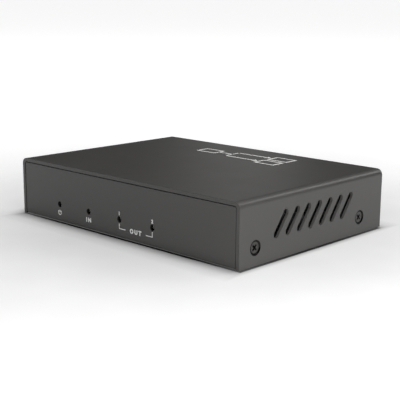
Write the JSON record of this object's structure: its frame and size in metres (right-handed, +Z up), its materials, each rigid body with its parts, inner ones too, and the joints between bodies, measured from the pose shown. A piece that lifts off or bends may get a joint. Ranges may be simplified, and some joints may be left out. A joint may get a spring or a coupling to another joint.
{
  "type": "hdmi splitter",
  "caption": "Small folded-metal box that copies a video input to its outputs, with status lamps in front, slanted side vents, and sockets and setting levers at the rear.",
  "frame": {"origin": "middle of the underside", "axes": "+X to the right seen from the front, +Y from the lamp side to the socket side, +Z up"},
  "size_m": [0.126, 0.09, 0.025],
  "materials": {
    "case_paint": "satin dark grey powder coat",
    "black_steel": "black zinc plate",
    "plated_steel": "bright zinc plate",
    "shell_steel": "nickel plate",
    "plated_pin": "tin plate",
    "contact_gold": "gold flash",
    "board_laminate": "green solder mask over glass laminate",
    "chip_black": "moulded epoxy",
    "pad_rubber": "soft silicone",
    "sink_aluminium": "black anodised",
    "ferrite_grey": "pressed ferrite",
    "can_aluminium": "bright can",
    "can_steel": "bright can",
    "ceramic_tan": "fired ceramic",
    "fuse_green": "moulded",
    "black_plastic": "moulded, fine texture",
    "switch_plastic": "moulded",
    "lever_plastic": "moulded white",
    "lamp_lens": "milky epoxy"
  },
  "bodies": {
    "case": {"base_chassis": "case_paint", "board_screws": "plated_steel", "board_standoffs": "plated_steel", "ceramic_capacitors": "ceramic_tan", "clock_crystal": "can_steel", "controller_chip": "chip_black", "electrolytic_capacitors": "can_aluminium", "heat_sink": "sink_aluminium", "input_lamp": "lamp_lens", "input_socket_contacts": "contact_gold", "input_socket_insulator": "black_plastic", "input_socket_shell": "shell_steel", "lamp_holders": "black_plastic", "lamp_leads": "plated_pin", "main_board": "board_laminate", "memory_chip": "chip_black", "output_1_lamp": "lamp_lens", "output_1_socket_contacts": "contact_gold", "output_1_socket_insulator": "black_plastic", "output_1_socket_shell": "shell_steel", "output_2_lamp": "lamp_lens", "output_2_socket_contacts": "contact_gold", "output_2_socket_insulator": "black_plastic", "output_2_socket_shell": "shell_steel", "power_inductor": "ferrite_grey", "power_jack_housing": "black_plastic", "power_jack_pin": "plated_pin", "power_jack_spring": "plated_pin", "power_lamp": "lamp_lens", "resettable_fuse": "fuse_green", "setting_switch_base": "switch_plastic", "setting_switch_housing": "switch_plastic", "setting_switch_terminals": "plated_pin", "side_screws": "black_steel", "splitter_chip": "chip_black", "surge_protectors": "chip_black", "thermal_pad": "pad_rubber", "top_cover": "case_paint", "voltage_regulators": "chip_black"},
    "setting_lever_1": {"setting_lever_1": "lever_plastic"},
    "setting_lever_2": {"setting_lever_2": "lever_plastic"},
    "setting_lever_3": {"setting_lever_3": "lever_plastic"},
    "setting_lever_4": {"setting_lever_4": "lever_plastic"}
  },
  "joints": [
    {"name": "setting_lever_1_slide", "type": "slide", "parent": "case", "child": "setting_lever_1", "axis": [0, 0, 1], "range_m": [0, 0.0014]},
    {"name": "setting_lever_2_slide", "type": "slide", "parent": "case", "child": "setting_lever_2", "axis": [0, 0, 1], "range_m": [0, 0.0014]},
    {"name": "setting_lever_3_slide", "type": "slide", "parent": "case", "child": "setting_lever_3", "axis": [0, 0, 1], "range_m": [0, 0.0014]},
    {"name": "setting_lever_4_slide", "type": "slide", "parent": "case", "child": "setting_lever_4", "axis": [0, 0, 1], "range_m": [0, 0.0014]}
  ]
}
